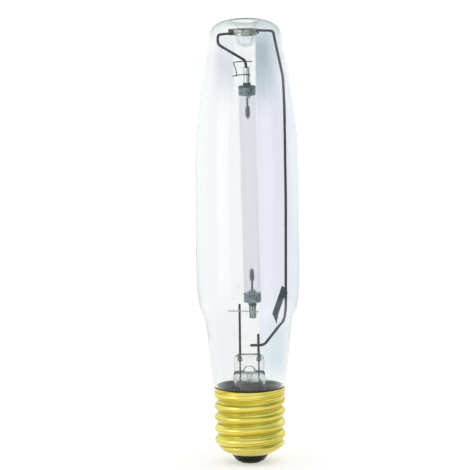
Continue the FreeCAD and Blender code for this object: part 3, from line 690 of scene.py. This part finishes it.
# ------------------------------------------------------------------ leads, seals and crossbar
# Radii of the thin wires in the press and below it, and of the bend in the ones below.
PIN_R, TAIL_R, TAIL_BEND = 0.4, 0.4, 2.5
CROSSBAR_R = 0.35
for side in ("left", "right"):
    low, high = span("lead_" + side)
    x, r = (low[0] + high[0]) / 2, (high[0] - low[0]) / 2
    shaft = [(x, 0, z) for z in np.linspace(low[2] + 0.3, high[2] - 0.1, 12)]
    skin("lead_rod_" + side, sweep(shaft, r, 24, dome=0.2), "lead_" + side, LAMP, lead_metal)
    low, high = span("seal_wire_" + side)
    wire = [(x, 0, z) for z in np.linspace(low[2] + 0.2, high[2] - 0.2, 8)]
    skin("seal_pin_" + side, sweep(wire, PIN_R, 16), "seal_wire_" + side, LAMP, lead_metal)
    low, high = span("seal_bead_" + side)
    bead = [
        (0.42, low[2]),
        (0.75, low[2] + 0.05),
        (1.15, low[2] + 0.55),
        (1.3, (low[2] + high[2]) / 2),
        (1.15, high[2] - 0.55),
        (0.8, high[2] - 0.05),
        (0.42, high[2]),
    ]
    rows = lathe(curve(bead, 4), 32) + (x, 0, 0)
    skin("glass_bead_" + side, rows, "seal_bead_" + side, LAMP, bead_glass, ring=True)

low, high = span("outer_lead_contact")
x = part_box("lead_left")[0][0] / MM + 0.65
line = bent([(x, 0, high[2]), (x, 0, 32), (x, 0, 19.5), (0, 0, 13.5), (0, 0, low[2])], TAIL_BEND)
skin("tail_to_contact", sweep(line, TAIL_R, 14), "outer_lead_contact", LAMP, copper)
low, high = span("outer_lead_shell")
x = low[0] + 0.6
weld = span("side_solder")
weld_z = (weld[0][2] + weld[1][2]) / 2
line = bent([(x, 0, high[2]), (x, 0, 35), (x, 0, 27), (11.5, 0, weld_z), (high[0], 0, weld_z)], TAIL_BEND)
skin("tail_to_shell", sweep(line, TAIL_R, 14), "outer_lead_shell", LAMP, copper)
centre = (weld[0] + weld[1]) / 2
# A drop of solder whose radius swells and shrinks a little, as a sine, from its foot to its top.
WELD_R, SWELL = 0.8245, 0.06
blob = arc(0, 0, WELD_R, -88, 88, 14)
blob[:, 0] *= 1 + SWELL * np.sin(np.linspace(0, 9, 14))
skin("shell_weld", lathe(blob, 28) + centre, "side_solder", LAMP, solder_metal)

low, high = span("crossbar_wire")
INSET = 0.36
line = curve(
    [
        (low[0] + 0.2, high[1] - INSET, 85.0),
        (-3.0, -0.98 - INSET, 85.1),
        (high[0] - 0.2, low[1] + INSET, 84.85),
    ],
    8,
)
rows = sweep(line, CROSSBAR_R, 16, reference=(0, 0, 1))
skin("crossbar", rows, "crossbar_wire", LAMP, bright_metal)

# ------------------------------------------------------------------ screw base
low, high = span("base_shell")
RIM_Z = high[2]
# Height of a thread crest on the +X side.
PHASE = 9.65
# The wall's mean radius, how far the thread swings from it, and the height where the shoulder ends.
MEAN, DEPTH, SHOULDER = 18.72, 0.88, 11.5
SHEET = 0.4
# How far the wall opens towards its rim, and how much fuller the crests are than a cosine's.
RIM_FLARE, FULLER = 0.8, 0.16


def ease(a, b, x):
    """0 before a, 1 after b, and a smooth cubic between."""
    u = np.clip((x - a) / (b - a), 0, 1)
    return u * u * (3 - 2 * u)


def shell_grid(wide=180, shoulder=34, straight=190):
    """Rolled brass: a shoulder curve and a straight wall, with a cosine wave that climbs one pitch a turn.

    The wave fades out towards the shoulder and the rim.  The inner skin is the outer one moved in along
    its own normal by the sheet's thickness, and both are joined at the lip and at the rim.
    """
    s = np.linspace(0, 1, shoulder, endpoint=False)[:, None]
    corners = np.array([(10.4, 4.8), (13.6, 5.6), (MEAN, 9.02), (MEAN, SHOULDER)])
    weight = np.concatenate([(1 - s) ** 3, 3 * s * (1 - s) ** 2, 3 * s * s * (1 - s), s**3], 1)
    bend = weight @ corners
    z = np.linspace(SHOULDER, RIM_Z, straight)
    wall = np.stack([MEAN + RIM_FLARE * ease(RIM_Z - 6.9, RIM_Z - 3.7, z), z], -1)
    line = np.concatenate([bend, wall])
    angle = np.linspace(0, 2 * np.pi, wide, endpoint=False)[None, :]
    fade = ease(SHOULDER - 3.9, SHOULDER - 0.3, line[:, 1])
    fade = fade * (1 - ease(RIM_Z - 6.9, RIM_Z - 4.1, line[:, 1]))
    turns = (line[:, 1] - PHASE) / PITCH
    wave = np.cos(2 * np.pi * turns[:, None] - angle)
    wave = wave + FULLER * (1 - wave**2)
    r = line[:, 0, None] + DEPTH * fade[:, None] * wave
    z = line[:, 1, None] + 0 * angle
    dr, dz = np.gradient(r, axis=0), np.gradient(z, axis=0)
    size = np.hypot(dr, dz)
    inner_r, inner_z = r - SHEET * dz / size, z + SHEET * dr / size
    inner_r[0], inner_z[0] = r[0], z[0] + SHEET
    inner_z[-1] = z[-1]
    r, z = np.concatenate([r, inner_r[::-1]]), np.concatenate([z, inner_z[::-1]])
    return np.stack([r * np.cos(angle), r * np.sin(angle), z], -1)


skin("screw_shell", shell_grid(), "base_shell", LAMP, brass, ring=True, sharp=50)

block = np.concatenate(
    [
        [(1.2, 1.0), (6.4, 1.0)],
        curve([(7.3, 1.0), (7.85, 1.4), (8.45, 2.15), (9.1, 3.05), (9.8, 3.85), (10.3, 4.35)], 5),
        [(10.38, 5.1), (11.5, 5.95), (14.4, 7.7), (14.4, 8.6), (6.0, 8.6), (4.0, 7.6), (1.2, 7.6)],
    ]
)
skin("insulator_glass", lathe(dense(block), 96), "base_insulator", LAMP, vitrite, ring=True)

eyelet = np.concatenate(
    [
        arc(1.05, 0.25, 0.25, 180, 270, 5),
        arc(5.2, 0.6, 0.6, -90, -10, 7),
        [(5.85, 0.95), (1.2, 0.95), (1.2, 3.1), (0.8, 3.1)],
    ]
)
rows = lathe(dense(eyelet), 64)
skin("contact_eyelet", rows, "centre_contact", LAMP, contact_brass, ring=True)
drop = [(0.05, 0.04), (0.3, 0.05), (0.6, 0.12), (0.78, 0.3), (0.79, 1.2), (0.5, 1.38), (0.05, 1.39)]
skin("contact_drop", lathe(curve(drop, 4), 32), "contact_solder", LAMP, solder_metal)

low, high = span("basing_cement")
# The bed fills the gap from just outside the neck to just inside the shell.
BED_IN = NECK_R + 0.05
bed = np.array(
    [
        (BED_IN, low[2]),
        (17.35, low[2]),
        (17.35, RIM_Z - 5.4),
        (18.9, RIM_Z - 3.2),
        (18.95, high[2] - 0.3),
        (18.7, high[2]),
        (18.35, high[2]),
        (BED_IN, 38.3),
    ]
)
skin("cement_bed", lathe(dense(bed), 120), "basing_cement", LAMP, cement, ring=True)

# ------------------------------------------------------------------ clip, frame wire and getter
low, high = span("dimple_clip")
clip_low, clip_high = low[2] + 0.3, high[2]
CLIP_IN, CLIP_OUT, TAB_THICK = 6.35, 6.75, 0.6
band_rows = lathe(dense(rim_edges(CLIP_IN, CLIP_OUT, clip_low, clip_high, 0.15), 0.7), 96)
skin("dimple_band", band_rows, "dimple_clip", LAMP, spring_metal, ring=True)


def plate(corners, thick, y, fold=None, soft=0.1):
    """Flat plate in the XZ plane: its outline, drawn in towards the middle at both faces to soften the edge.

    fold, a function of height, says how far the plate is bent along Y.
    """
    c = dense(np.asarray(corners, float), 0.6)
    middle = c.mean(0)
    inset = (c - middle) / np.linalg.norm(c - middle, axis=1)[:, None] * soft
    layers = [(c - inset, -0.5), (c, -0.5 + soft / thick), (c, 0.5 - soft / thick), (c - inset, 0.5)]
    rows = np.stack([np.column_stack([p[:, 0], np.full(len(p), y + k * thick), p[:, 1]]) for p, k in layers])
    if fold is not None:
        rows[:, :, 1] += fold(rows[:, :, 2])
    return rows


for side, x0, x1, z0, z1 in (
    ("left", low[0], -6.6, low[2], clip_high - 0.2),
    ("right", 6.6, high[0], clip_low + 0.4, clip_high - 0.6),
):
    skin(
        "dimple_tab_" + side,
        plate([(x0, z0), (x1, z0), (x1, z1), (x0, z1)], TAB_THICK, 0.0),
        "dimple_clip",
        LAMP,
        ear_steel,
    )

# The long side rod stands at this distance from the lamp's axis.
side_x = 21.275
FRAME_R, FRAME_BEND = 0.75, 2.0
route = [
    (0.9, -1.45, 65.9),
    (8.3, -1.45, 66.0),
    (side_x - 1.5, -0.87, 80.5),
    (side_x - 0.7, 0, 85.5),
    (side_x, 0, 147.0),
    (side_x - 0.15, 0, 198.0),
    (side_x - 0.7, 0, 215.6),
    (15.3, 0.5, 241.7),
    (4.2, 7.5, 241.9),
    (-4.2, 7.5, 241.9),
    (-9.6, 1.4, 240.3),
    (-15.1, 0, 239.9),
    (-15.1, 0, 234.5),
    (-0.3, 0, 225.4),
    (0.3, 0, 222.4),
    (0.3, 0, 217.0),
]
# No leg of the wire runs along this direction, so the section never loses its axes.
ACROSS = (0.12, 0.99, 0.06)
line = bent(route, FRAME_BEND)
rod = sweep(line, FRAME_R, 20, reference=ACROSS)
skin("frame_rod", rod, "frame_wire", LAMP, frame_metal)

gx, gz = side_x - 0.3, 95.7
STRIP_THICK, STRIP_Y = 0.3, 0.9
blade = [
    (gx - 2.4, gz + 3.2),
    (gx - 0.2, gz + 1.4),
    (gx + 0.9, gz - 1.2),
    (gx - 0.9, gz - 2.6),
    (gx - 4.4, gz - 12.7),
    (gx - 5.6, gz - 18.1),
    (gx - 7.9, gz - 12.7),
]
BEND_TOP, BEND_LONG, BEND_BACK = 84.5, 6.5, 0.9


def foot_bend(z):
    """How far the strip's foot is bent back: nothing over the bend's top, and a power of 1.6 below it."""
    return BEND_BACK * np.clip((BEND_TOP - z) / BEND_LONG, 0, 1) ** 1.6


strip = plate(blade, STRIP_THICK, STRIP_Y, foot_bend)
skin("getter_blade", strip, "getter_strip", LAMP, getter_metal)

# ------------------------------------------------------------------ arc tube, leaned about its own foot
LEAN = math.radians(0.76)
PIVOT = np.array((2.3, 0.0, 85.0))


def leaned(rows):
    """Points turned about the Y axis through the arc tube's foot, from the Z axis to the tube's own axis."""
    x, y, z = rows[..., 0], rows[..., 1], rows[..., 2] - PIVOT[2]
    c, s = math.cos(LEAN), math.sin(LEAN)
    return np.stack([PIVOT[0] + x * c - z * s, y, PIVOT[2] + x * s + z * c], -1)


# Heights below are along the tube's own axis.
low_z, high_z = 90.2, 210.9
TUBE_IN, TUBE_OUT = 3.9, 4.6
# The plug's outer radius, its length, and how far its face lies inside the tube's end.
PLUG_R, PLUG_LONG, PLUG_IN = 3.87, 4.2, 0.5
# The foil band, whose outer face ripples and whose inner one doesn't.
BAND_IN, BAND_OUT, BAND_LONG = 4.63, 4.76, 4.7
RIPPLE, RIPPLES, RIPPLE_FROM = 0.006, 9, 4.69
# The feedthrough's wall, and how far it reaches in past the plug's face.
FEED_WALL, FEED_IN = 0.4, 6.0
# Radius that stands for the axis, where a closed end needs one.
AXIS = 0.02
# The electrode: its rod, and a coil of tungsten wire wound on it a little short of the tip.
ROD_R, BARE_TIP = 0.6, 1.2
COIL_R, COIL_WIRE_R, COIL_LONG, COIL_PITCH = 0.97, 0.35, 5.4, 0.74
tube = dense(rim_edges(TUBE_IN, TUBE_OUT, low_z, high_z, 0.2), 2.5)
arc_tube = skin("ceramic_tube", leaned(lathe(tube, 72)), "arc_tube", None, alumina, ring=True)
for side, end, inward, feed_r, feed_out, body, rod_end, metal in (
    ("lower", low_z, 1, 1.95, 81.0, LAMP, 108.9, niobium_streaked),
    ("upper", high_z, -1, 1.85, 221.5, UPPER, 192.8, niobium),
):
    face = end + inward * PLUG_IN
    z0, z1 = sorted((face, face + inward * PLUG_LONG))
    rows = leaned(lathe(dense(rim_edges(feed_r, PLUG_R, z0, z1)), 56))
    skin("plug_" + side, rows, "end_plug_" + side, body, plug_ceramic, ring=True)

    z0, z1 = sorted((end, end + inward * BAND_LONG))
    rows = lathe(dense(rim_edges(BAND_IN, BAND_OUT, z0, z1, 0.05), 0.6), 96)
    angle = np.arctan2(rows[..., 1], rows[..., 0])
    outer = np.hypot(rows[..., 0], rows[..., 1]) > RIPPLE_FROM
    ripple = 1 + RIPPLE * np.sin(RIPPLES * angle + 1.3 * rows[..., 2]) * outer
    rows[..., :2] *= ripple[..., None]
    skin("foil_band_" + side, leaned(rows), "shield_band_" + side, body, foil, ring=True)

    frit = np.array(
        [
            (feed_r, face),
            (3.6, face),
            (3.45, face - inward * 0.5),
            (feed_r + 0.5, face - inward * 0.9),
            (feed_r + 0.32, face - inward * 1.5),
            (feed_r + 0.3, face - inward * 2.5),
            (feed_r, face - inward * 2.8),
        ]
    )
    rows = leaned(lathe(dense(frit, 0.5), 56))
    skin("frit_" + side, rows, "frit_seal_" + side, body, frit_glass, ring=True)

    feed_in = face + inward * FEED_IN
    feed = np.array(
        [
            (AXIS, feed_in),
            (feed_r - 0.2, feed_in),
            (feed_r, feed_in - inward * 0.2),
            (feed_r, feed_out + inward * 0.1),
            (feed_r - 0.1, feed_out),
            (feed_r - FEED_WALL, feed_out),
            (feed_r - FEED_WALL, face),
            (AXIS, face),
        ]
    )
    rows = leaned(lathe(dense(feed, 0.8, closed=False), 56))
    skin("feed_tube_" + side, rows, "niobium_tube_" + side, body, metal)

    shaft = leaned(np.array([(0, 0, z) for z in np.linspace(feed_in, rod_end - inward * 0.2, 10)]))
    skin("electrode_" + side, sweep(shaft, ROD_R, 24), "electrode_rod_" + side, body, tungsten)
    start = rod_end - inward * BARE_TIP - (COIL_LONG if inward > 0 else 0)
    turn = np.linspace(0, COIL_LONG / COIL_PITCH * 2 * np.pi, 260)
    climb = start + COIL_LONG * turn / turn[-1]
    spiral = np.stack([COIL_R * np.cos(turn), COIL_R * np.sin(turn), climb], -1)
    rows = sweep(leaned(spiral), COIL_WIRE_R, 12, reference=(0.02, 0.01, 1))
    skin("coil_" + side, rows, "electrode_coil_" + side, body, tungsten)

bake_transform(arc_tube)

low, high = span("connector_tail")
THREAD_R, THREAD_BEND = 0.28, 1.6
TAIL_Y = -2.13
line = curve(
    [
        (low[0] + 0.3, TAIL_Y, 217.0),
        (-4.0, TAIL_Y, 217.6),
        (0.0, TAIL_Y, 217.75),
        (high[0] - 0.1, TAIL_Y, 217.6),
    ],
    8,
)
rows = sweep(line, THREAD_R, 14, reference=(0, 0, 1), dome=1.2)
skin("bridge_tail", rows, "connector_tail", UPPER, niobium_thread)
line = bent(
    [
        (3.6, -1.03, 224.9),
        (-2.0, -1.03, 225.0),
        (-7.1, -1.23, 224.6),
        (-5.5, -1.9, 221.6),
        (-5.0, -2.74, 219.0),
        (-5.0, -2.74, 217.1),
    ],
    THREAD_BEND,
)
rows = sweep(line, THREAD_R, 14, reference=(0.1, 0.99, 0.1))
bridge = skin("bridge_wire", rows, "flexible_connector", None, niobium_thread)
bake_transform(bridge)

# ------------------------------------------------------------------ floor, light and camera, in metres
# The paper lies just under the lamp, and reaches this far each way.
REACH, FLOOR_Z = 30.0, -2e-4
paper = new_material("seamless_paper")
fibre = add(paper, "TexNoise", Scale=900.0, Detail=2.0, Vector=add(paper, "TexCoord", {"out": "Object"}))
white = add(paper, "ValToRGB", {"stops": [(0.3, "#c6c6c6"), (0.7, "#cbcbcb")]}, Fac=fibre)
lit_paper = add(
    paper,
    "BsdfPrincipled",
    Base_Color=white,
    Roughness=0.9,
    Specular_IOR_Level=0.0,
    Emission_Color=srgb("#ffffff"),
    Emission_Strength=0.46,
)
add(paper, "OutputMaterial", Surface=lit_paper)
floor_mesh = bpy.data.meshes.new("floor")
corners = [
    (-REACH, -REACH, FLOOR_Z),
    (REACH, -REACH, FLOOR_Z),
    (REACH, REACH, FLOOR_Z),
    (-REACH, REACH, FLOOR_Z),
]
floor_mesh.from_pydata(corners, [], [(0, 1, 2, 3)])
floor_mesh.materials.append(paper)
floor = bpy.data.objects.new("floor", floor_mesh)
bpy.context.scene.collection.objects.link(floor)

# Ring of soft panels round the lamp, seen only in reflections.  Position round the ring: 0 and 1 are behind,
# 0.25 is the left, 0.5 the front and 0.75 the right.  The strength doubles the colours.  The panels fade to a
# grey towards the floor, and to another above the dome, which draws the dome's outline.
RING_R, RING_FOOT, RING_TOP, RING_PARTS = 0.3, -1e-4, 0.55, 96
LOW_START, LOW_FULL = 0.0, 0.12
HIGH_START, HIGH_FULL = 0.2, 0.28
ring = new_material("panel_ring")
place = add(ring, "TexCoord", {"out": "Object"})
x, y, z = (add(ring, "SeparateXYZ", {"out": axis}, Vector=place) for axis in "XYZ")
away = add(ring, "Math", {"operation": "MULTIPLY"}, i0=y, i1=-1.0)
turn = add(ring, "Math", {"operation": "ARCTAN2"}, i0=x, i1=away)
round_ring = add(ring, "MapRange", Value=turn, From_Min=-math.pi, From_Max=math.pi)
panels = add(
    ring,
    "ValToRGB",
    {
        "stops": [
            (0.0, "#c2c6c5"),
            (0.22, "#c2c6c5"),
            (0.3, "#c8cccc"),
            (0.315, "#ffffff"),
            (0.38, "#ffffff"),
            (0.395, "#b0b3b4"),
            (0.42, "#a8acae"),
            (0.43, "#b0b2b3"),
            (0.59, "#b0b2b3"),
            (0.63, "#6c7074"),
            (0.68, "#6c7074"),
            (0.78, "#9aa09e"),
            (0.84, "#c2c6c5"),
            (1.0, "#c2c6c5"),
        ]
    },
    Fac=round_ring,
)
low_part = add(ring, "MapRange", Value=z, From_Min=LOW_START, From_Max=LOW_FULL, To_Min=0.55)
glow = add(ring, "Mix", {"data_type": "RGBA", "out": 2}, i0=low_part, i6=srgb("#9a9ea0"), i7=panels)
high_part = add(ring, "MapRange", Value=z, From_Min=HIGH_START, From_Max=HIGH_FULL)
capped = add(ring, "Mix", {"data_type": "RGBA", "out": 2}, i0=high_part, i6=glow, i7=srgb("#98a29e"))
lit = add(ring, "Emission", Color=capped, Strength=2.0)
bounced = add(
    ring, "Math", {"operation": "MINIMUM"}, i0=add(ring, "LightPath", {"out": "Glossy Depth"}), i1=1.0
)
shown = add(ring, "MixShader", i0=bounced, i1=add(ring, "BsdfTransparent"), i2=lit)
add(ring, "OutputMaterial", Surface=shown)
angle = np.linspace(0, 2 * np.pi, RING_PARTS, endpoint=False)
wall = RING_R * np.stack([np.cos(angle), np.sin(angle)], -1)
rows = np.concatenate([np.column_stack([wall, np.full(RING_PARTS, z)]) for z in (RING_FOOT, RING_TOP)])
i = np.arange(RING_PARTS)
j = (i + 1) % RING_PARTS
ring_mesh = bpy.data.meshes.new("panel_ring")
ring_mesh.from_pydata(rows.tolist(), [], np.stack([i, j, j + RING_PARTS, i + RING_PARTS], -1).tolist())
ring_mesh.materials.append(ring)
panel_ring = bpy.data.objects.new("panel_ring", ring_mesh)
bpy.context.scene.collection.objects.link(panel_ring)
panel_ring.visible_shadow = False
panel_ring.visible_diffuse = False

world = bpy.data.worlds.new("studio")
bpy.context.scene.world = world
world.use_nodes = True
world.node_tree.nodes["Background"].inputs[0].default_value = srgb("#fdfdff")
world.node_tree.nodes["Background"].inputs[1].default_value = 1.035


def softbox(name, place, target, width, tall, power):
    """Rectangular area light that faces the target; sizes in metres, power in watts."""
    data = bpy.data.lights.new(name, "AREA")
    data.shape, data.size, data.size_y, data.energy = "RECTANGLE", width, tall, power
    lamp = bpy.data.objects.new(name, data)
    lamp.location = place
    lamp.rotation_euler = (Vector(target) - Vector(place)).to_track_quat("-Z", "Y").to_euler()
    lamp.visible_camera = False
    bpy.context.scene.collection.objects.link(lamp)


softbox("overhead", (0.0, -0.1, 2.6), (0, 0, 0.1), 3.0, 3.0, 3)

scene = bpy.context.scene
scene.view_settings.view_transform = "Standard"
view = bpy.data.cameras.new("view")
view.lens, view.sensor_width = 800, 36
FRAME_WIDE = 0.2595
distance = FRAME_WIDE / 2 / (view.sensor_width / 2 / view.lens)
elevation, roll = math.radians(10.5), math.radians(-0.74)
aim = Vector((-0.00699, 0, 0.1277))
back = Vector((0, -math.cos(elevation), math.sin(elevation)))
camera = bpy.data.objects.new("view", view)
camera.location = aim + back * distance
camera.rotation_mode = "QUATERNION"
camera.rotation_quaternion = (-back).to_track_quat("-Z", "Y") @ Quaternion((0, 0, 1), roll)
view.clip_start, view.clip_end = 0.05, 80
scene.collection.objects.link(camera)
scene.camera = camera
